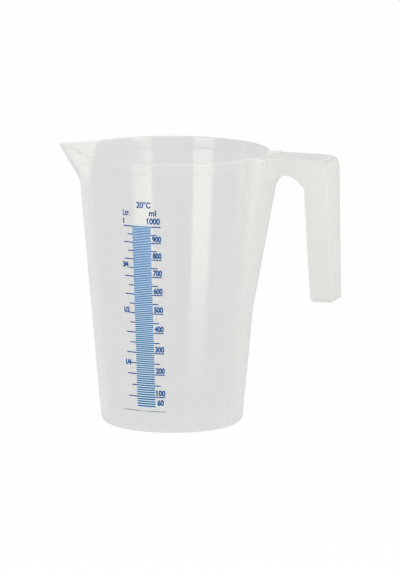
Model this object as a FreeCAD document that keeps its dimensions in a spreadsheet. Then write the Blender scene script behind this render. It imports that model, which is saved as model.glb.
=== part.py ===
import FreeCAD, Part
import os
import math
import Sketcher

doc = FreeCAD.newDocument("measuring_jug")

# Sizes in millimetres, angles in degrees. Leans and tapers are run per rise, the two slopes of the
# arch are rise per run.
sizes = [
    ("jug_height", 176, "base to rim"),
    ("base_radius", 45.4, "outside of the wall cone at the table"),
    ("rim_radius", 61, "outside of the wall cone at the rim"),
    ("wall", 1.7, "wall of cup, spout and buttress, measured level"),
    ("heel_round", 4, "outside rounding at the foot"),
    ("floor_thickness", 2.2, "raised floor"),
    ("floor_low", 2.5, "lowest level of the inside floor"),
    ("groove_width", 4.9, "ring of lowest floor between the wall and the raised floor"),
    ("punt_height", 8.2, "raised floor above the lowest level"),
    ("punt_run", 4, "run of the slope up to the raised floor"),
    ("floor_round", 2.4, "rounding of the floor corners"),
    ("recess_round", 1, "rounding of the underside edge on the table"),
    ("band_height", 7, "rim band"),
    ("band_step", 0.8, "outward step of the rim band"),
    ("rim_round", 0.6, "rounding of the rim edges"),
    ("spout_reach", 17.9, "corner of the V beyond the rim radius"),
    ("spout_half_angle", 43, "half of the V in plan"),
    ("spout_slope", 0.606, "lean of the spout ridge"),
    ("spout_drop", 46, "depth of the spout body below the rim"),
    ("spout_arm", 36, "sides of the V, ending inside the cup"),
    ("spout_round", 2.6, "tip rounding at the rim"),
    ("spout_round_low", 7, "ridge rounding at the foot of the spout"),
    ("spout_seam_round", 4, "hollow rounding outside, where spout and wall meet"),
    ("spout_mouth_round", 1.5, "rounding inside, where spout and wall meet"),
    ("buttress_reach", 6.9, "buttress face beyond the rim radius"),
    ("buttress_lean", 0.0784, "lean of the buttress face beyond that of the wall"),
    ("buttress_half_width", 18.8, "at the rim"),
    ("buttress_taper", 0.062, "half width lost per mm down"),
    ("buttress_drop", 130, "depth of the buttress body below the rim, ending inside the cup"),
    ("buttress_back", 32, "inner end of the buttress body from the axis"),
    ("buttress_round", 1.2, "rounding of the buttress corners"),
    ("buttress_seam_round", 1.5, "hollow rounding where buttress and wall meet"),
    ("handle_reach", 39.4, "outer handle face beyond the buttress face, at the rim"),
    ("handle_slope", 0.038, "outward lean of the handle face going down"),
    ("handle_drop", 91, "rim to the bottom of the grip"),
    ("grip_depth_top", 15.7, "depth of the grip channel at its top"),
    ("grip_depth_low", 14.7, "depth of the grip channel at its foot"),
    ("arch_end_drop", 17.6, "rim to the inner corner of the grip"),
    ("arch_rise", 0.565, "slope of the arch on the side of the root"),
    ("arch_fall", 1.024, "slope of the arch on the side of the grip"),
    ("arch_round", 10.7, "rounding of the arch peak"),
    ("root_low_drop", 22, "rim to the foot of the handle root"),
    ("root_run", 4, "reach of the root curve along the arch"),
    ("root_round", 13, "radius of the root curve"),
    ("root_arch_drop", 15, "rim to the upper end of the root curve"),
    ("handle_half_width", 17.4, "half width at the root, at rim level"),
    ("handle_taper_out", 0.083, "half width lost per mm outward"),
    ("handle_taper_down", 0.044, "half width lost per mm down"),
    ("handle_corner_round", 6, "outer top corner"),
    ("handle_foot_round", 3.4, "inner bottom corner of the grip"),
    ("handle_toe_round", 1.5, "outer bottom corner of the grip"),
    ("handle_edge_round", 1.2, "long outer edges"),
    ("web", 2, "outer web of the handle channel"),
    ("flange", 1.8, "side walls of the handle channel"),
    ("ink", 0.06, "thickness of the printed film"),
    ("line_width", 0.7, "height of a side mark"),
    ("ladder_share", 0.65, "part of each ladder step that its line fills"),
    ("base_line_width", 0.35, "height of the lowest printed line"),
    ("base_line_drop", 3.3, "lowest printed line below the ladder"),
    ("ladder_left", 6.8, "ladder edge left of the print axis"),
    ("ladder_right", 5.35, "ladder edge right of the print axis"),
    ("long_right", 11.9, "end of the long marks on the right"),
    ("short_right", 9.1, "end of the short marks on the right"),
    ("long_left", 13.2, "end of the long marks on the left"),
    ("short_left", 10.4, "end of the short marks on the left"),
    ("base_line_left", 16.9, "left end of the lowest line"),
    ("full_volume", 1000, "highest mark, millilitres"),
    ("fine_step", 10, "millilitres between ladder lines"),
    ("coarse_step", 50, "millilitres between side marks"),
    ("first_volume", 60, "lowest ladder line, millilitres"),
]

sheet = doc.addObject("Spreadsheet::Sheet", "sizes")
for row, (name, value, note) in enumerate(sizes, start=1):
    sheet.set("A%d" % row, name)
    sheet.set("B%d" % row, str(value))
    sheet.set("C%d" % row, note)
    sheet.setAlias("B%d" % row, name)
doc.recompute()


def number(text):
    return float(sheet.evalExpression(text))


def size(name):
    return float(sheet.get(name))


def plane_of(body, role):
    for item in body.Origin.OriginFeatures:
        if item.Role == role:
            return item


def new_sketch(body, label, role, lift="0"):
    # A sketch on one origin plane, lifted along its normal by an expression.
    sketch = body.newObject("Sketcher::SketchObject", label)
    sketch.AttachmentSupport = (plane_of(body, role), [""])
    sketch.MapMode = "FlatFace"
    sketch.setExpression("AttachmentOffset.Base.z", lift)
    return sketch


def draw(sketch, corners):
    # Closed outline through corners (x, y) or (x, y, radius, turn): with a radius, the side that
    # leaves the corner is an arc, turn 1 for anticlockwise and -1 for clockwise.
    first = sketch.GeometryCount
    count = len(corners)
    points = [(number(corner[0]), number(corner[1])) for corner in corners]
    ends = []
    for index, corner in enumerate(corners):
        start = FreeCAD.Vector(points[index][0], points[index][1], 0)
        after = points[(index + 1) % count]
        stop = FreeCAD.Vector(after[0], after[1], 0)
        if len(corner) == 2:
            sketch.addGeometry(Part.LineSegment(start, stop), False)
            ends.append((1, 2))
            continue
        radius = number(corner[2])
        turn = corner[3]
        chord = stop - start
        half = chord.Length / 2
        side = FreeCAD.Vector(-chord.y, chord.x, 0).normalize() * turn
        middle = (start + stop) * 0.5
        centre = middle + side * math.sqrt(max(radius * radius - half * half, 0))
        first_angle = math.atan2(start.y - centre.y, start.x - centre.x)
        last_angle = math.atan2(stop.y - centre.y, stop.x - centre.x)
        if turn < 0:
            first_angle, last_angle = last_angle, first_angle
        circle = Part.Circle(centre, FreeCAD.Vector(0, 0, 1), radius)
        sketch.addGeometry(Part.ArcOfCircle(circle, first_angle, last_angle), False)
        ends.append((1, 2) if turn > 0 else (2, 1))
    for index in range(count):
        after = (index + 1) % count
        sketch.addConstraint(Sketcher.Constraint(
            "Coincident", first + index, ends[index][1], first + after, ends[after][0]))
    for index, corner in enumerate(corners):
        for kind, value, text in zip(("DistanceX", "DistanceY"), points[index], corner[:2]):
            place = sketch.addConstraint(Sketcher.Constraint(
                kind, -1, 1, first + index, ends[index][0], value))
            sketch.setExpression("Constraints[%d]" % place, text)
        if len(corner) > 2:
            place = sketch.addConstraint(Sketcher.Constraint(
                "Radius", first + index, number(corner[2])))
            sketch.setExpression("Constraints[%d]" % place, corner[2])


def turned(body, label, kind, sketch):
    # A full turn of a sketch about the vertical axis.
    feature = body.newObject(kind, label)
    feature.Profile = sketch
    feature.ReferenceAxis = (sketch, ["V_Axis"])
    feature.Angle = 360
    doc.recompute()
    return feature


def lofted(body, label, kind, low, high):
    feature = body.newObject(kind, label)
    feature.Profile = low
    feature.Sections = [high]
    feature.Ruled = True
    doc.recompute()
    return feature


def rounded(body, label, base, names, radius):
    feature = body.newObject("PartDesign::Fillet", label)
    feature.Base = (base, names)
    feature.setExpression("Radius", radius)
    doc.recompute()
    return feature


def edges(feature, test):
    names = []
    for index, edge in enumerate(feature.Shape.Edges, start=1):
        if test(edge):
            names.append("Edge%d" % index)
    return names


near = 0.01
height = size("jug_height")
wall_lean = (size("rim_radius") - size("base_radius")) / height
side_level = size("floor_low") + size("punt_height") + size("heel_round")


def outside_radius(level):
    return size("base_radius") + wall_lean * level


def middle_of(edge):
    return edge.valueAt((edge.FirstParameter + edge.LastParameter) / 2)


def seam(inset, side):
    # Test for an edge on the wall cone, less an inset, above the floor and below the rim; side is
    # 1 toward the handle and -1 toward the spout.
    def test(edge):
        middle = middle_of(edge)
        if not side_level < middle.z < height - near or middle.x * side < 0:
            return False
        if abs(middle.y) < near and edge.BoundBox.YLength < near:
            return False
        return abs(math.hypot(middle.x, middle.y) - outside_radius(middle.z) + inset) < near
    return test


def ring_at(radius, level):
    # Test for a circle about the axis.
    def test(edge):
        curve = edge.Curve
        if not isinstance(curve, Part.Circle):
            return False
        return abs(curve.Radius - radius) < near and abs(curve.Center.z - level) < near
    return test


# Cup: outer turned form, spout and buttress added, then the same three hollowed.
cup = doc.addObject("PartDesign::Body", "cup")
cup.Label = "cup"

wall_run = "((sizes.rim_radius - sizes.base_radius) / sizes.jug_height)"


def wall_radius(level, inset):
    return "(sizes.base_radius + %s * %s - (%s))" % (wall_run, level, inset)


floor_top = "(sizes.floor_low + sizes.punt_height)"
recess_top = "(%s - sizes.floor_thickness)" % floor_top
punt_foot = wall_radius("sizes.floor_low", "sizes.wall + sizes.groove_width")
punt_top = "(%s - sizes.punt_run)" % punt_foot
punt_lean = "(sizes.punt_run / sizes.punt_height)"
above = "(sizes.jug_height + sizes.wall)"
spout_tip = "(sizes.rim_radius + sizes.spout_reach)"
buttress_face = "(sizes.rim_radius + sizes.buttress_reach)"
buttress_slope = "(%s + sizes.buttress_lean)" % wall_run


def recess_radius(level):
    # Underside hollow, one floor thickness under the slope of the raised floor.
    return ("(%s + %s * (sizes.floor_low - (%s)) - sizes.floor_thickness * sqrt(1 + %s ^ 2))"
            % (punt_foot, punt_lean, level, punt_lean))


outside = new_sketch(cup, "outside_profile", "XZ_Plane")
draw(outside, [
    ("0", recess_top),
    (recess_radius(recess_top), recess_top),
    (recess_radius("0"), "0"),
    ("sizes.base_radius", "0"),
    ("sizes.rim_radius", "sizes.jug_height"),
    ("0", "sizes.jug_height"),
])
step = turned(cup, "outside", "PartDesign::Revolution", outside)
step = rounded(cup, "heel", step, edges(step, ring_at(size("base_radius"), 0)), "sizes.heel_round")


def spout_outline(label, drop, inset, radius):
    # V in plan, its tip rounded, closed inside the cup; drop and inset are expressions.
    sketch = new_sketch(cup, label, "XY_Plane", "sizes.jug_height - (%s)" % drop)
    tip = "(sizes.spout_slope * (%s) + (%s) - %s)" % (drop, inset, spout_tip)
    run = "((%s) / tan(sizes.spout_half_angle * 1 deg))" % radius
    touch = "(%s + %s * cos(sizes.spout_half_angle * 1 deg))" % (tip, run)
    side = "(%s * sin(sizes.spout_half_angle * 1 deg))" % run
    back = "(%s + sizes.spout_arm * cos(sizes.spout_half_angle * 1 deg))" % tip
    wide = "(sizes.spout_arm * sin(sizes.spout_half_angle * 1 deg))"
    draw(sketch, [
        (touch, side, radius, 1),
        (touch, "-" + side),
        (back, "-" + wide),
        (back, wide),
    ])
    return sketch


def buttress_outline(label, drop, inset):
    # Rectangle in plan from inside the cup to the buttress face, outer corners rounded.
    sketch = new_sketch(cup, label, "XY_Plane", "sizes.jug_height - (%s)" % drop)
    face = "(%s - %s * (%s) - (%s))" % (buttress_face, buttress_slope, drop, inset)
    side = "(sizes.buttress_half_width - sizes.buttress_taper * (%s) - (%s))" % (drop, inset)
    turn = "sizes.buttress_round"
    draw(sketch, [
        ("sizes.buttress_back", "-" + side),
        (face + " - " + turn, "-" + side, turn, 1),
        (face, "-" + side + " + " + turn),
        (face, side + " - " + turn, turn, 1),
        (face + " - " + turn, side),
        ("sizes.buttress_back", side),
    ])
    return sketch


step = lofted(
    cup, "spout_outside", "PartDesign::AdditiveLoft",
    spout_outline("spout_foot", "sizes.spout_drop", "0", "sizes.spout_round_low"),
    spout_outline("spout_lip", "0", "0", "sizes.spout_round"))
step = lofted(
    cup, "buttress_outside", "PartDesign::AdditiveLoft",
    buttress_outline("buttress_foot", "sizes.buttress_drop", "0"),
    buttress_outline("buttress_top", "0", "0"))

step = rounded(cup, "spout_seam", step, edges(step, seam(0, -1)), "sizes.spout_seam_round")
step = rounded(cup, "buttress_seam", step, edges(step, seam(0, 1)), "sizes.buttress_seam_round")

# The rim band steps outward, outside now and inside once the cup is hollow.
band_low = "(sizes.jug_height - sizes.band_height)"
band_start = "(sizes.jug_height - sizes.band_height - sizes.band_step)"
band = new_sketch(cup, "band_profile", "XZ_Plane")
draw(band, [
    (wall_radius(band_start, "sizes.wall / 2"), band_start),
    (wall_radius(band_start, "0"), band_start),
    (wall_radius(band_low, "-sizes.band_step"), band_low),
    (wall_radius("sizes.jug_height", "-sizes.band_step"), "sizes.jug_height"),
    (wall_radius("sizes.jug_height", "sizes.wall / 2"), "sizes.jug_height"),
])
step = turned(cup, "band_outside", "PartDesign::Revolution", band)


def outer_rim(edge):
    # Rim edges, all but those round the buttress, where the handle carries on level.
    middle = middle_of(edge)
    clear = middle.x < 0 or abs(middle.y) > size("buttress_half_width") + near
    return clear and edge.BoundBox.ZMin > height - near


step = rounded(cup, "rim_outside", step, edges(step, outer_rim), "sizes.rim_round")

inside = new_sketch(cup, "inside_profile", "XZ_Plane")
draw(inside, [
    ("0", floor_top),
    (punt_top, floor_top),
    (punt_foot, "sizes.floor_low"),
    (wall_radius("sizes.floor_low", "sizes.wall"), "sizes.floor_low"),
    (wall_radius(above, "sizes.wall"), above),
    ("0", above),
])
step = turned(cup, "inside", "PartDesign::Groove", inside)
spout_inset = "sizes.wall / sin(sizes.spout_half_angle * 1 deg)"
step = lofted(
    cup, "spout_inside", "PartDesign::SubtractiveLoft",
    spout_outline("spout_foot_inside", "sizes.spout_drop", spout_inset,
                  "sizes.spout_round_low - sizes.wall"),
    spout_outline("spout_lip_inside", "-sizes.wall", spout_inset,
                  "sizes.spout_round - sizes.wall"))
step = lofted(
    cup, "buttress_inside", "PartDesign::SubtractiveLoft",
    buttress_outline("buttress_foot_inside", "sizes.buttress_drop", "sizes.wall"),
    buttress_outline("buttress_top_inside", "-sizes.wall", "sizes.wall"))
step = rounded(cup, "spout_mouth", step, edges(step, seam(size("wall"), -1)), "sizes.spout_mouth_round")

step_inside = new_sketch(cup, "band_inside_profile", "XZ_Plane")
draw(step_inside, [
    (wall_radius(band_start, "sizes.wall * 2"), band_start),
    (wall_radius(band_start, "sizes.wall"), band_start),
    (wall_radius(band_low, "sizes.wall - sizes.band_step"), band_low),
    (wall_radius(above, "sizes.wall - sizes.band_step"), above),
    (wall_radius(above, "sizes.wall * 2"), above),
])
step = turned(cup, "band_inside", "PartDesign::Groove", step_inside)

corners = edges(step, ring_at(outside_radius(size("floor_low")) - size("wall"), size("floor_low")))
corners += edges(step, ring_at(number(punt_foot), size("floor_low")))
corners += edges(step, ring_at(number(punt_top), number(floor_top)))
corners += edges(step, ring_at(number(recess_radius(recess_top)), number(recess_top)))
step = rounded(cup, "floor_corners", step, corners, "sizes.floor_round")
step = rounded(cup, "recess_edge", step, edges(step, ring_at(number(recess_radius("0")), 0)),
               "sizes.recess_round")


def inner_rim(feature):
    # Names of the edges round the inside of the flat rim.
    flats = [face for face in feature.Shape.Faces if face.BoundBox.ZMin > height - near]
    loop = min(flats[0].Wires, key=lambda wire: wire.Length)
    return edges(feature, lambda edge: any(edge.isSame(other) for other in loop.Edges))


step = rounded(cup, "rim_inside", step, inner_rim(step), "sizes.rim_round")
cup.Tip = step
doc.recompute()

# Handle: a wedge that narrows outward and downward, cut to its side outline, then channelled.
handle = doc.addObject("PartDesign::Body", "handle")
handle.Label = "handle"
channel = doc.addObject("PartDesign::Body", "channel")
channel.Label = "channel"

handle_low = "(sizes.jug_height - sizes.handle_drop)"
handle_face = "(%s + sizes.handle_reach)" % buttress_face
face_low = "(%s + sizes.handle_slope * sizes.handle_drop)" % handle_face
wedge_start = "(%s - sizes.root_low_drop)" % buttress_face
wedge_end = "(%s + sizes.handle_corner_round)" % face_low


def half_width(reach, level, inset):
    return ("(sizes.handle_half_width - sizes.handle_taper_out * (%s - %s)"
            " - sizes.handle_taper_down * (sizes.jug_height - %s) - (%s))"
            % (reach, buttress_face, level, inset))


def wedge(body, label, top, low, inset):
    outlines = []
    for end, reach in (("root", wedge_start), ("tip", wedge_end)):
        sketch = new_sketch(body, "%s_%s" % (label, end), "YZ_Plane", reach)
        draw(sketch, [
            ("-" + half_width(reach, low, inset), low),
            (half_width(reach, low, inset), low),
            (half_width(reach, top, inset), top),
            ("-" + half_width(reach, top, inset), top),
        ])
        outlines.append(sketch)
    return lofted(body, label, "PartDesign::AdditiveLoft", outlines[0], outlines[1])


def trimmed(body, label, outline, top, low):
    # Keep only what lies inside the side outline.
    sketch = new_sketch(body, label + "_outline", "XZ_Plane")
    margin = "sizes.handle_corner_round"
    draw(sketch, [
        (wedge_start + " - " + margin, low + " - " + margin),
        (wedge_end + " + " + margin, low + " - " + margin),
        (wedge_end + " + " + margin, top + " + " + margin),
        (wedge_start + " - " + margin, top + " + " + margin),
    ])
    draw(sketch, outline)
    feature = body.newObject("PartDesign::Pocket", label)
    feature.Profile = sketch
    feature.Type = "ThroughAll"
    feature.Midplane = True
    doc.recompute()
    return feature


wedge(handle, "handle_wedge", "sizes.jug_height", handle_low, "0")
# The arch under the arm: two slopes, from the root and from the grip, that meet in a rounded peak.
root_top = "(%s - %s * sizes.root_arch_drop + sizes.root_run)" % (buttress_face, buttress_slope)
root_foot = "(%s - %s * sizes.root_low_drop)" % (buttress_face, buttress_slope)
root_level = "(sizes.jug_height - sizes.root_arch_drop)"
grip_corner = "(%s + sizes.handle_slope * sizes.arch_end_drop - sizes.grip_depth_top)" % handle_face
arch_peak = ("((sizes.root_arch_drop - sizes.arch_end_drop + %s * sizes.arch_fall + %s * sizes.arch_rise)"
             " / (sizes.arch_rise + sizes.arch_fall))" % (grip_corner, root_top))
arch_level = "(%s + sizes.arch_rise * (%s - %s))" % (root_level, arch_peak, root_top)
step = trimmed(handle, "handle_side", [
    (buttress_face, "sizes.jug_height"),
    (handle_face, "sizes.jug_height"),
    (face_low, handle_low),
    (face_low + " - sizes.grip_depth_low", handle_low),
    (grip_corner, "sizes.jug_height - sizes.arch_end_drop"),
    (arch_peak, arch_level),
    (root_top, root_level, "sizes.root_round", 1),
    (root_foot, "sizes.jug_height - sizes.root_low_drop"),
], "sizes.jug_height", handle_low)


def cross_edge(reach, level):
    # Test for an edge straight across the handle at one place in its side outline.
    def test(edge):
        middle = edge.BoundBox.Center
        if edge.BoundBox.XLength > near or edge.BoundBox.ZLength > near:
            return False
        return abs(middle.x - number(reach)) < near and abs(middle.z - number(level)) < near
    return test


step = rounded(handle, "handle_corner", step,
               edges(step, cross_edge(handle_face, "sizes.jug_height")), "sizes.handle_corner_round")
step = rounded(handle, "handle_toe", step,
               edges(step, cross_edge(face_low, handle_low)), "sizes.handle_toe_round")
step = rounded(handle, "handle_foot", step,
               edges(step, cross_edge(face_low + " - sizes.grip_depth_low", handle_low)),
               "sizes.handle_foot_round")
step = rounded(handle, "handle_arch", step,
               edges(step, cross_edge(arch_peak, arch_level)), "sizes.arch_round")


def outer_long_edge(edge):
    # Edges along the top and the outer face, on either side of the handle.
    middle = middle_of(edge)
    if abs(middle.y) < near or edge.Length < 2 * near:
        return False
    depth = height - middle.z
    face = number(handle_face) + size("handle_slope") * depth
    corner = size("handle_corner_round")
    at_corner = middle.x > face - corner and depth < corner
    return abs(depth) < near or abs(middle.x - face) < near or at_corner


step = rounded(handle, "handle_edges", step, edges(step, outer_long_edge), "sizes.handle_edge_round")

channel_top = "(sizes.jug_height - sizes.web)"
channel_low = "(sizes.jug_height - sizes.handle_drop + sizes.web)"
wedge(channel, "channel_wedge", channel_top, channel_low, "sizes.flange")
hollow = trimmed(channel, "channel_side", [
    (wedge_start, channel_low),
    (face_low + " - sizes.handle_slope * sizes.web - sizes.web", channel_low),
    (handle_face + " + sizes.handle_slope * sizes.web - sizes.web", channel_top),
    (wedge_start, channel_top),
], channel_top, channel_low)
hollow = rounded(channel, "channel_corner", hollow, edges(hollow, cross_edge(
    handle_face + " + sizes.handle_slope * sizes.web - sizes.web", channel_top)),
    "sizes.handle_corner_round - sizes.web")

cut = handle.newObject("PartDesign::Boolean", "handle_channel")
cut.Type = "Cut"
cut.setObjects([channel])
handle.Tip = cut
doc.recompute()


# Printed films: bars that lie on the wall cone, at the level of each volume.
def level_of(volume):
    # Level at which the cup, with its raised floor, holds a volume in millilitres.
    low = size("floor_low")
    foot = number(punt_foot)
    top = number(punt_top)
    punt = math.pi * size("punt_height") * (foot * foot + foot * top + top * top) / 3
    start = outside_radius(low) - size("wall")
    cube = 3 * wall_lean * (volume * 1000 + punt) / math.pi + start ** 3
    return low + (cube ** (1 / 3) - start) / wall_lean


def bar(level, thick, left, right):
    # A bar from left to right of the print axis, lengths measured round the wall.
    low = level - thick / 2
    high = level + thick / 2
    film = size("ink")
    corners = [(outside_radius(low), low), (outside_radius(low) + film, low),
               (outside_radius(high) + film, high), (outside_radius(high), high)]
    wire = Part.makePolygon([FreeCAD.Vector(x, 0, z) for x, z in corners + corners[:1]])
    around = outside_radius(level)
    solid = Part.Face(wire).revolve(
        FreeCAD.Vector(0, 0, 0), FreeCAD.Vector(0, 0, 1), math.degrees((right - left) / around))
    solid.rotate(FreeCAD.Vector(0, 0, 0), FreeCAD.Vector(0, 0, 1), math.degrees(left / around) - 90)
    return solid


def film_node(name, bars):
    node = doc.addObject("Part::Feature", name)
    node.Label = name
    node.Shape = Part.makeCompound(bars)
    node.Placement = FreeCAD.Placement()
    return node


full = int(size("full_volume"))
fine = int(size("fine_step"))
coarse = int(size("coarse_step"))
thick = size("line_width")
left = -size("ladder_left")
right = size("ladder_right")
hundred = 2 * coarse

ladder = []
for volume in range(int(size("first_volume")), full + 1, fine):
    level = level_of(volume)
    rung = size("ladder_share") * (level - level_of(volume - fine))
    ladder.append(bar(level, rung, left, right))
right_marks = []
left_marks = []
for volume in range(hundred, full + 1, coarse):
    level = level_of(volume)
    reach = size("short_right") if volume % hundred else size("long_right")
    right_marks.append(bar(level, thick, right, reach))
    plain = volume % hundred or volume * 2 == full
    reach = size("short_left") if plain else size("long_left")
    left_marks.append(bar(level, thick, -reach, left))

base_level = level_of(size("first_volume")) - size("base_line_drop")
films = [
    film_node("scale_ladder_10ml", ladder),
    film_node("scale_marks_ml", right_marks),
    film_node("scale_marks_litre", left_marks),
    film_node("scale_base_line", [bar(base_level, size("base_line_width"),
                                      -size("base_line_left"), size("long_right"))]),
]
doc.recompute()

for item in doc.Objects:
    if "Invalid" in item.State or "Error" in item.State:
        raise RuntimeError("object in error: " + item.Label)

os.makedirs("parts", exist_ok=True)
for node in [cup, handle] + films:
    shape = node.Shape
    if shape.isNull() or not shape.isValid():
        raise RuntimeError("bad shape: " + node.Label)
    shape.exportStep("parts/" + node.Label + ".step")
    print(node.Label, len(shape.Solids), "solids", round(shape.Volume, 1), "cubic mm")
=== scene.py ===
import bpy
import bmesh
import math
from mathutils import Matrix, Vector


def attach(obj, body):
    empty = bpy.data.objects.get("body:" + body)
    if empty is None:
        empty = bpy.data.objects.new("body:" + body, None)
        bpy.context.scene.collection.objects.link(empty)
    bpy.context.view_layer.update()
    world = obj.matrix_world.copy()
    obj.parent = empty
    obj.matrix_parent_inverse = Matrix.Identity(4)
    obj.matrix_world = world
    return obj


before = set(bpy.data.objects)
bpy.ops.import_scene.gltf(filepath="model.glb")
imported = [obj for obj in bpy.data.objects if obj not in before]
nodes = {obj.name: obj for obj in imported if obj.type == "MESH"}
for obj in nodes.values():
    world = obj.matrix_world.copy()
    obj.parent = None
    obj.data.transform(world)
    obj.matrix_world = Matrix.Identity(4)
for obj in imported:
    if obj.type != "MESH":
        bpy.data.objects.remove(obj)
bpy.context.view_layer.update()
scene = bpy.context.scene
scene.view_settings.view_transform = "Standard"
print("frame loaded:", sorted(nodes))

# camera, at the photograph's viewing angle
cameraLook = {
    "place": (0.9428, -2.6836, 0.5965),
    "turn": 19.0,      # degrees round the jug
    "tilt": 79.867,    # degrees up from straight down
    "roll": 0.249,
    "lens": 284.21,    # mm
    "sensor": 36.0,    # mm
    "farClip": 30.0,
}


def makeCamera(look):
    data = bpy.data.cameras.new("camera")
    data.lens = look["lens"]
    data.sensor_width = look["sensor"]
    data.clip_end = look["farClip"]
    camera = bpy.data.objects.new("camera", data)
    scene.collection.objects.link(camera)
    turn = Matrix.Rotation(math.radians(look["turn"]), 4, "Z")
    tilt = Matrix.Rotation(math.radians(look["tilt"]), 4, "X")
    roll = Matrix.Rotation(math.radians(look["roll"]), 4, "Z")
    camera.matrix_world = Matrix.Translation(look["place"]) @ turn @ tilt @ roll
    scene.camera = camera


makeCamera(cameraLook)
print("camera placed")


# small helpers for node trees
def newMaterial(name):
    material = bpy.data.materials.new(name)
    material.use_nodes = True
    tree = material.node_tree
    tree.nodes.clear()
    return material, tree


def addNode(tree, kind, **values):
    node = tree.nodes.new(kind)
    for key, value in values.items():
        setattr(node, key, value)
    return node


def fillSocket(tree, socket, value):
    if isinstance(value, (int, float)):
        socket.default_value = value
    elif isinstance(value, tuple):
        socket.default_value = (*value, 1)      # a plain colour
    else:
        tree.links.new(value, socket)


def mathNode(tree, operation, *values):
    node = addNode(tree, "ShaderNodeMath", operation=operation)
    for socket, value in zip(node.inputs, values):
        fillSocket(tree, socket, value)
    return node.outputs[0]


def colourMix(tree, share, first, second):
    node = addNode(tree, "ShaderNodeMix", data_type="RGBA")
    for index, value in ((0, share), (6, first), (7, second)):      # 6 and 7 take the colours
        fillSocket(tree, node.inputs[index], value)
    return node.outputs[2]      # the mixed colour


def shaderMix(tree, share, first, second):
    node = addNode(tree, "ShaderNodeMixShader")
    for socket, value in zip(node.inputs, (share, first, second)):
        fillSocket(tree, socket, value)
    return node.outputs[0]


def splitAxes(tree, vector):
    node = addNode(tree, "ShaderNodeSeparateXYZ")
    tree.links.new(vector, node.inputs[0])
    return node.outputs


def noiseAt(tree, coordinates, grain):
    mapping = addNode(tree, "ShaderNodeMapping")
    mapping.inputs["Scale"].default_value = grain["stretch"]
    noise = addNode(tree, "ShaderNodeTexNoise")
    noise.inputs["Scale"].default_value = grain["scale"]
    noise.inputs["Detail"].default_value = grain["detail"]
    tree.links.new(coordinates, mapping.inputs["Vector"])
    tree.links.new(mapping.outputs["Vector"], noise.inputs["Vector"])
    return noise.outputs["Fac"]


def rangeOf(tree, value, low, high, between=(0.0, 1.0)):
    node = addNode(tree, "ShaderNodeMapRange", interpolation_type="SMOOTHSTEP")
    node.inputs["From Min"].default_value = between[0]
    node.inputs["From Max"].default_value = between[1]
    node.inputs["To Min"].default_value = low
    node.inputs["To Max"].default_value = high
    tree.links.new(value, node.inputs["Value"])
    return node.outputs["Result"]


def closeMaterial(tree, surface):
    output = addNode(tree, "ShaderNodeOutputMaterial")
    tree.links.new(surface, output.inputs["Surface"])


# natural polypropylene: a clear wall with a little milk in it, more of it in the rim band, in the
# handle and where the wall is seen edge on, and more again along the top edge as a painted
# highlight, under a smooth gloss; lengths in m
plasticLook = {
    "milk": (0.993, 0.996, 0.978),
    "milkLow": (0.988, 0.991, 0.971),
    "cloud": {"scale": 22.0, "detail": 2.0, "stretch": (1, 1, 0.35)},     # slow flow of the melt
    "passing": 0.5,                 # share of the milk's light that goes on through the wall
    "haze": (0.045, 0.07),          # share of milk at each surface, square on
    "bandHaze": 0.095,              # added in the rim band
    "bandFrom": (0.1675, 0.1695),   # heights over which it sets in
    "lipHaze": 0.45,                # painted highlight: milk added along the top edge so that it shows as a light line
    "lipHighlightFrom": (0.1748, 0.1756),
    "handleHaze": 0.28,             # added in the handle and the side of the cup below it
    "handleFrom": (0.035, 0.048),   # distances from the axis, at the foot
    "handleLean": 0.0886,           # and how far they move out with height, as the wall does
    "edgeHaze": 0.3,                # added where the wall is seen edge on
    "edgePower": 8.0,
    "floorShare": 0.15,             # share of haze and sheen that is left in the raised floor
    "floorSlope": (0.2, 0.4),       # upright part of the normal, from wall to floor
    "floorTo": (0.012, 0.014),      # heights at which the floor ends
    "gloss": (0.07, 0.11),          # roughness range
    "sheen": 0.03,                  # mirrored share, square on
    "edgeSheen": 0.5,               # added edge on
    "sheenPower": 5.0,
    "wave": {"scale": 35.0, "detail": 1.0, "stretch": (1, 1, 0.5)},       # unevenness of the wall
    "waveHeight": 0.0002,
    "waveStrength": 0.2,
}


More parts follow.
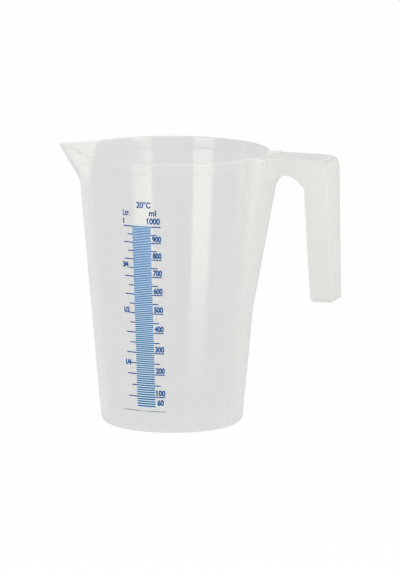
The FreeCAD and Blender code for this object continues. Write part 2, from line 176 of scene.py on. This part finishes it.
def makePlastic(name, look):
    material, tree = newMaterial(name)
    link = tree.links.new
    place = addNode(tree, "ShaderNodeTexCoord").outputs["Object"]
    axes = splitAxes(tree, place)
    cloud = noiseAt(tree, place, look["cloud"])
    wave = noiseAt(tree, place, look["wave"])
    facing = addNode(tree, "ShaderNodeLayerWeight").outputs["Facing"]

    colour = colourMix(tree, cloud, look["milkLow"], look["milk"])
    back = addNode(tree, "ShaderNodeBsdfDiffuse")
    through = addNode(tree, "ShaderNodeBsdfTranslucent")
    link(colour, back.inputs["Color"])
    link(colour, through.inputs["Color"])
    milky = shaderMix(tree, look["passing"], back.outputs[0], through.outputs[0])

    # how much milk there is
    share = rangeOf(tree, cloud, *look["haze"])
    band = rangeOf(tree, axes["Z"], 0.0, look["bandHaze"], look["bandFrom"])
    lean = mathNode(tree, "MULTIPLY", axes["Z"], look["handleLean"])
    side = mathNode(tree, "SUBTRACT", axes["X"], lean)
    grip = rangeOf(tree, side, 0.0, look["handleHaze"], look["handleFrom"])
    edge = mathNode(tree, "POWER", facing, look["edgePower"])
    edge = mathNode(tree, "MULTIPLY", edge, look["edgeHaze"])
    # painted highlight: extra milk on the top edge, lit from above, draws the light line along the
    # rim
    lip = rangeOf(tree, axes["Z"], 0.0, look["lipHaze"], look["lipHighlightFrom"])
    for more in (mathNode(tree, "MAXIMUM", band, grip), edge, lip):
        share = mathNode(tree, "ADD", share, more)

    # the raised floor is clearer and duller than the wall
    normal = splitAxes(tree, addNode(tree, "ShaderNodeNewGeometry").outputs["Normal"])
    upright = mathNode(tree, "ABSOLUTE", normal["Z"])
    steep = rangeOf(tree, upright, 1.0, look["floorShare"], look["floorSlope"])
    above = rangeOf(tree, axes["Z"], 0.0, 1.0, look["floorTo"])
    full = mathNode(tree, "MAXIMUM", steep, above)
    share = mathNode(tree, "MULTIPLY", share, full)
    clear = addNode(tree, "ShaderNodeBsdfTransparent")
    body = shaderMix(tree, share, clear.outputs[0], milky)

    bump = addNode(tree, "ShaderNodeBump")
    bump.inputs["Strength"].default_value = look["waveStrength"]
    bump.inputs["Distance"].default_value = look["waveHeight"]
    link(wave, bump.inputs["Height"])
    gloss = addNode(tree, "ShaderNodeBsdfGlossy")
    gloss.inputs["Color"].default_value = (1, 1, 1, 1)
    link(rangeOf(tree, wave, *look["gloss"]), gloss.inputs["Roughness"])
    link(bump.outputs["Normal"], gloss.inputs["Normal"])
    sheen = mathNode(tree, "POWER", facing, look["sheenPower"])
    sheen = mathNode(tree, "MULTIPLY", sheen, look["edgeSheen"])
    sheen = mathNode(tree, "ADD", sheen, look["sheen"])
    sheen = mathNode(tree, "MULTIPLY", sheen, full)
    closeMaterial(tree, shaderMix(tree, sheen, body, gloss.outputs[0]))
    return material


# the cup's cone and its inside in mm, and the level of a volume in ml
mmPerMetre = 1000
cubicMmPerMl = 1000
cone = {"baseRadius": 45.4, "rimRadius": 61.0, "height": 176.0, "film": 0.06}
inside = {"low": 2.5, "wall": 1.7, "groove": 4.9, "puntHeight": 8.2, "puntRun": 4.0}
coneLean = (cone["rimRadius"] - cone["baseRadius"]) / cone["height"]
startRadius = cone["baseRadius"] + coneLean * inside["low"] - inside["wall"]
puntFoot = startRadius - inside["groove"]
puntTop = puntFoot - inside["puntRun"]
puntSquares = puntFoot ** 2 + puntFoot * puntTop + puntTop ** 2
puntVolume = math.pi * inside["puntHeight"] * puntSquares / 3


def levelOf(volume):
    filled = volume * cubicMmPerMl + puntVolume
    cube = 3 * coneLean * filled / math.pi + startRadius ** 3
    return inside["low"] + (cube ** (1 / 3) - startRadius) / coneLean


# screen-printed ink, a little uneven
inkGrain = {"scale": 160.0, "detail": 3.0, "stretch": (1, 1, 1)}
ladderInk = {
    "deep": (0.004, 0.20, 0.53),
    "pale": (0.010, 0.25, 0.60),
    "rough": 0.5,
    "specular": 0.1,
    "line": (0.002, 0.06, 0.25),    # low on the ladder each line is deep in the middle
    "edge": (0.16, 0.62, 0.95),     # and thin at its edges
    "edgeFrom": (0.16, 0.28),       # in steps from the middle of the line
    "low": (0.03, 0.11),            # heights in m over which this fades out
    "step": 10.0,                   # ml from line to line
}
markInk = {
    "deep": (0.003, 0.08, 0.29),
    "pale": (0.006, 0.11, 0.35),
    "rough": 0.5,
    "specular": 0.08,
}
wornInk = {
    "deep": (0.012, 0.07, 0.19),
    "pale": (0.30, 0.42, 0.52),
    "rough": 0.5,
    "specular": 0.15,
    "wornMiddle": -0.0029,          # worn pale round this X, in m
    "wornReach": (0.001, 0.0055),   # fading out to both sides
    "wornRange": (0.6, 1.0),
}


def linedColour(tree, height, colour, look):
    step = look["step"] * cubicMmPerMl
    perCube = math.pi / (3 * coneLean) / step
    radius = mathNode(tree, "MULTIPLY", height, mmPerMetre * coneLean)
    radius = mathNode(tree, "ADD", radius, startRadius - coneLean * inside["low"])
    steps = mathNode(tree, "MULTIPLY", mathNode(tree, "POWER", radius, 3.0), perCube)
    steps = mathNode(tree, "SUBTRACT", steps, perCube * startRadius ** 3 + puntVolume / step)
    away = mathNode(tree, "PINGPONG", steps, 0.5)       # 0 in the middle of a line
    edge = rangeOf(tree, away, 0.0, 1.0, look["edgeFrom"])
    lined = colourMix(tree, edge, look["line"], look["edge"])
    return colourMix(tree, rangeOf(tree, height, 1.0, 0.0, look["low"]), colour, lined)


def wornPatch(tree, across, patch, look):
    away = mathNode(tree, "SUBTRACT", across, look["wornMiddle"])
    away = mathNode(tree, "ABSOLUTE", away)
    worn = rangeOf(tree, away, 1.0, 0.0, look["wornReach"])
    return mathNode(tree, "MULTIPLY", worn, rangeOf(tree, patch, *look["wornRange"]))


def makeInk(name, look):
    material, tree = newMaterial(name)
    place = addNode(tree, "ShaderNodeTexCoord").outputs["Object"]
    patch = noiseAt(tree, place, inkGrain)
    if "wornMiddle" in look:
        patch = wornPatch(tree, splitAxes(tree, place)["X"], patch, look)
    colour = colourMix(tree, patch, look["deep"], look["pale"])
    if "line" in look:
        colour = linedColour(tree, splitAxes(tree, place)["Z"], colour, look)
    body = addNode(tree, "ShaderNodeBsdfPrincipled")
    body.inputs["Roughness"].default_value = look["rough"]
    body.inputs["Specular IOR Level"].default_value = look["specular"]
    tree.links.new(colour, body.inputs["Base Color"])
    closeMaterial(tree, body.outputs[0])
    return material


plasticMaterial = makePlastic("naturalPolypropylene", plasticLook)
ladderMaterial = makeInk("blueInk", ladderInk)
markMaterial = makeInk("deepBlueInk", markInk)
wornMaterial = makeInk("wornBlueInk", wornInk)


def dress(node, material):
    piece = nodes[node]
    piece.data.materials.clear()
    piece.data.materials.append(material)


dress("cup", plasticMaterial)
dress("handle", plasticMaterial)
dress("scale_ladder_10ml", ladderMaterial)
dress("scale_marks_ml", markMaterial)
dress("scale_marks_litre", markMaterial)
dress("scale_base_line", wornMaterial)
print("materials set")

# numbers and units of the printed scale, as thin films on the wall
letterFilm = {
    "digit": 0.729,     # height of a digit at size 1
    "depth": 0.5,       # half the depth of the letters before they are pressed into the film
    "middle": 0.5,      # share of the film's thickness at which they are centred
    "fill": 0.95,       # and which they take up
    "merge": 1e-5,
}


def printText(name, words, look, level):
    data = bpy.data.curves.new(name, "FONT")
    data.body = words
    data.size = 1.0
    data.space_character = look.get("spacing", 1.0)
    data.extrude = letterFilm["depth"]
    data.offset = look["bold"]
    data.bevel_depth = look["spread"]       # widens the strokes further, at the film's mid height
    data.bevel_resolution = 0
    letters = bpy.data.objects.new(name, data)
    scene.collection.objects.link(letters)
    bpy.context.view_layer.update()
    mesh = bpy.data.meshes.new_from_object(letters)
    scene.collection.objects.unlink(letters)
    bpy.data.objects.remove(letters)
    piece = bpy.data.objects.new(name, mesh)
    scene.collection.objects.link(piece)
    shape = bmesh.new()
    shape.from_mesh(mesh)
    bmesh.ops.remove_doubles(shape, verts=shape.verts, dist=letterFilm["merge"])
    lowX = min(vert.co.x for vert in shape.verts)
    highX = max(vert.co.x for vert in shape.verts)
    scale = look["height"] / letterFilm["digit"]
    stretch = look["width"] / (highX - lowX)
    radius = cone["baseRadius"] + coneLean * level
    for vert in shape.verts:
        along = look["left"] + (vert.co.x - lowX) * stretch
        up = level + vert.co.y * scale
        film = cone["film"] * (letterFilm["middle"] + letterFilm["fill"] * vert.co.z)
        out = cone["baseRadius"] + coneLean * up + film
        angle = along / radius
        vert.co = Vector((math.sin(angle) * out, -math.cos(angle) * out, up)) / mmPerMetre
    bmesh.ops.recalc_face_normals(shape, faces=shape.faces)
    shape.to_mesh(mesh)
    shape.free()
    mesh.materials.clear()
    mesh.materials.append(markMaterial)
    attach(piece, "root")


# in mm: left is measured round the wall from the scale's axis, a lift from the level of the volume
numbers = {"height": 3.6, "bold": 0.02, "spread": 0.03, "left": 6.15, "width": 5.8, "lift": 1.0}
lowNumber = {**numbers, "left": 6.65, "width": 4.2, "level": 18.6}
fullNumber = {"height": 3.9, "bold": 0.02, "spread": 0.018, "left": 3.2, "width": 8.3, "lift": 1.9}
fractions = {
    "height": 3.4, "bold": 0.02, "spread": 0.022, "left": -14.55, "width": 4.2,
    "spacing": 0.8,     # draws the figures together
    "words": ((250, "1/4", -1.3), (500, "1/2", 0.0), (750, "3/4", 0.2)),    # volume, words, lift
}
singleOne = {"height": 3.5, "bold": 0.0, "spread": 0.0, "left": -13.2, "width": 0.8, "lift": 1.5}
flag = {"height": 0.9, "bold": 0.02, "spread": 0.02, "width": 0.9, "rise": 2.4}
flaggedOnes = [     # the short stroke at the top of a 1
    {"name": "litre_1000_flag", "volume": 1000, "left": -13.9, "lift": singleOne["lift"]},
    {"name": "number_1000_flag", "volume": 1000, "left": 2.6, "lift": fullNumber["lift"]},
    {"name": "number_100_flag", "volume": 100, "left": 5.6, "lift": numbers["lift"]},
]
units = {"height": 3.9, "bold": 0.015, "spread": 0.014}
unitWords = [
    {"name": "unit_litre", "words": "Ltr.", "left": -13.4, "width": 5.0, "level": 141.7},
    {"name": "unit_ml", "words": "ml", "left": 4.55, "width": 4.6, "level": 142.0},
    {"name": "unit_warmth", "words": "20°C", "left": -3.6, "width": 9.3, "level": 147.0},
]

for volume in range(100, 1000, 100):
    printText("number_%d" % volume, str(volume), numbers, levelOf(volume) + numbers["lift"])
printText("number_1000", "1000", fullNumber, levelOf(1000) + fullNumber["lift"])
printText("number_60", "60", lowNumber, lowNumber["level"])
for volume, words, lift in fractions["words"]:
    printText("litre_%d" % volume, words, fractions, levelOf(volume) + lift)
printText("litre_1000", "1", singleOne, levelOf(1000) + singleOne["lift"])
for one in flaggedOnes:
    level = levelOf(one["volume"]) + one["lift"] + flag["rise"]
    printText(one["name"], "/", {**flag, **one}, level)
for unit in unitWords:
    printText(unit["name"], unit["words"], {**units, **unit}, unit["level"])
print("scale printed")

# floor and white surround
stageLook = {
    "floor": (0.93, 0.93, 0.93),
    "reach": 8.0,                     # m, from the jug to the floor's edge
    "white": (1.0, 1.0, 1.0),
    "behind": (0.72, 0.722, 0.735),   # painted shade: a light grey that the camera sees only through the plastic, so the walls look dimmer than the white
    "glow": 0.96,                     # share of plain backdrop that the camera sees on the floor
    "surround": 0.79,                 # light from all round
    "above": 1.02,                    # and from straight above
    "clearLayers": 32,                # clear surfaces that a line of sight can pass
}


def backdrop(tree, look):
    path = addNode(tree, "ShaderNodeLightPath").outputs
    bare = mathNode(tree, "LESS_THAN", path["Transparent Depth"], 0.5)      # no plastic in front
    plain = mathNode(tree, "MULTIPLY", path["Is Camera Ray"], bare)
    mirrored = mathNode(tree, "MAXIMUM", path["Is Glossy Ray"], path["Is Transmission Ray"])
    seen = mathNode(tree, "MAXIMUM", path["Is Camera Ray"], mirrored)
    # painted shade: where plastic is in front the camera sees this grey instead of white
    return seen, colourMix(tree, plain, look["behind"], look["white"])


def makeFloor(look):
    shape = bmesh.new()
    bmesh.ops.create_grid(shape, x_segments=1, y_segments=1, size=look["reach"])
    mesh = bpy.data.meshes.new("floor")
    shape.to_mesh(mesh)
    shape.free()
    floor = bpy.data.objects.new("floor", mesh)
    scene.collection.objects.link(floor)
    material, tree = newMaterial("paleFloor")
    paint = addNode(tree, "ShaderNodeBsdfDiffuse")
    paint.inputs["Color"].default_value = (*look["floor"], 1)
    seen, colour = backdrop(tree, look)
    plain = addNode(tree, "ShaderNodeEmission")
    tree.links.new(colour, plain.inputs["Color"])
    share = mathNode(tree, "MULTIPLY", seen, look["glow"])
    closeMaterial(tree, shaderMix(tree, share, paint.outputs[0], plain.outputs[0]))
    mesh.materials.append(material)
    floor.visible_glossy = False       # the gloss of the wall shows the lamps below the table too


def makeWorld(look):
    world = bpy.data.worlds.new("surround")
    scene.world = world
    world.use_nodes = True
    tree = world.node_tree
    tree.nodes.clear()
    dim = addNode(tree, "ShaderNodeBackground")
    axes = splitAxes(tree, addNode(tree, "ShaderNodeTexCoord").outputs["Generated"])
    light = rangeOf(tree, axes["Z"], look["surround"], look["above"])
    tree.links.new(light, dim.inputs["Strength"])
    seen, colour = backdrop(tree, look)
    plain = addNode(tree, "ShaderNodeBackground")
    tree.links.new(colour, plain.inputs["Color"])
    output = addNode(tree, "ShaderNodeOutputWorld")
    surface = shaderMix(tree, seen, dim.outputs[0], plain.outputs[0])
    tree.links.new(surface, output.inputs["Surface"])


# tall soft lamps round the jug: azimuth in degrees from the front, heights and widths in m, glow 1
# as bright as white. Each fades in over the first two heights and out over the last two. The gloss
# of the leaning wall looks down past the table, so a lamp can have a second part below it.
softLamps = [
    {"name": "rightLamp", "azimuth": 59.0, "wide": 0.57, "glow": 2.35,
     "upper": (-0.06, 0.14, 1.3, 1.5), "below": 0.4},
    {"name": "leftLamp", "azimuth": -20.0, "wide": 0.57, "glow": 2.55,
     "upper": (-0.06, 0.14, 0.35, 0.6), "below": 0.4},
    {"name": "sideLamp", "azimuth": -81.0, "wide": 0.26, "glow": 3.0,
     "upper": (0.0, 0.3, 0.35, 0.5), "below": 0.0},
    {"name": "backCard", "azimuth": -125.0, "wide": 1.0, "glow": 0.24,
     "upper": (-0.5, -0.3, 0.2, 0.3), "below": 0.0},
]
lampStand = {
    "distance": 1.25,
    "low": -0.6,
    "high": 1.5,
    "lower": (-0.43, -0.25, -0.16, -0.06),      # heights of the part below the table
    "colour": (1.0, 0.96, 0.76),
}


def makeLamp(look, stand):
    tall = stand["high"] - stand["low"]
    data = bpy.data.lights.new(look["name"], "AREA")
    data.shape = "RECTANGLE"
    data.size = look["wide"]
    data.size_y = tall
    data.energy = look["glow"] * math.pi * look["wide"] * tall
    data.color = stand["colour"]
    data.use_nodes = True
    tree = data.node_tree
    face = splitAxes(tree, addNode(tree, "ShaderNodeNewGeometry").outputs["Parametric"])

    def lit(heights, share):       # face Y runs from 0 at the foot to 1 at the top
        low, lowFull, highFull, high = [(height - stand["low"]) / tall for height in heights]
        rise = rangeOf(tree, face["Y"], 0.0, share, (low, lowFull))
        fall = rangeOf(tree, face["Y"], 1.0, 0.0, (highFull, high))
        return mathNode(tree, "MULTIPLY", rise, fall)

    upper = lit(look["upper"], 1.0)
    lower = lit(stand["lower"], look["below"])
    strength = mathNode(tree, "MAXIMUM", upper, lower)
    tree.links.new(strength, tree.nodes["Emission"].inputs["Strength"])
    lamp = bpy.data.objects.new(look["name"], data)
    scene.collection.objects.link(lamp)
    turn = math.radians(look["azimuth"])
    lamp.location = (math.sin(turn) * stand["distance"], -math.cos(turn) * stand["distance"],
                     stand["low"] + tall / 2)
    lamp.rotation_euler = (math.radians(90), 0, turn)
    lamp.visible_camera = False


makeFloor(stageLook)
makeWorld(stageLook)
for lampLook in softLamps:
    makeLamp(lampLook, lampStand)
scene.cycles.transparent_max_bounces = stageLook["clearLayers"]
print("stage lit")
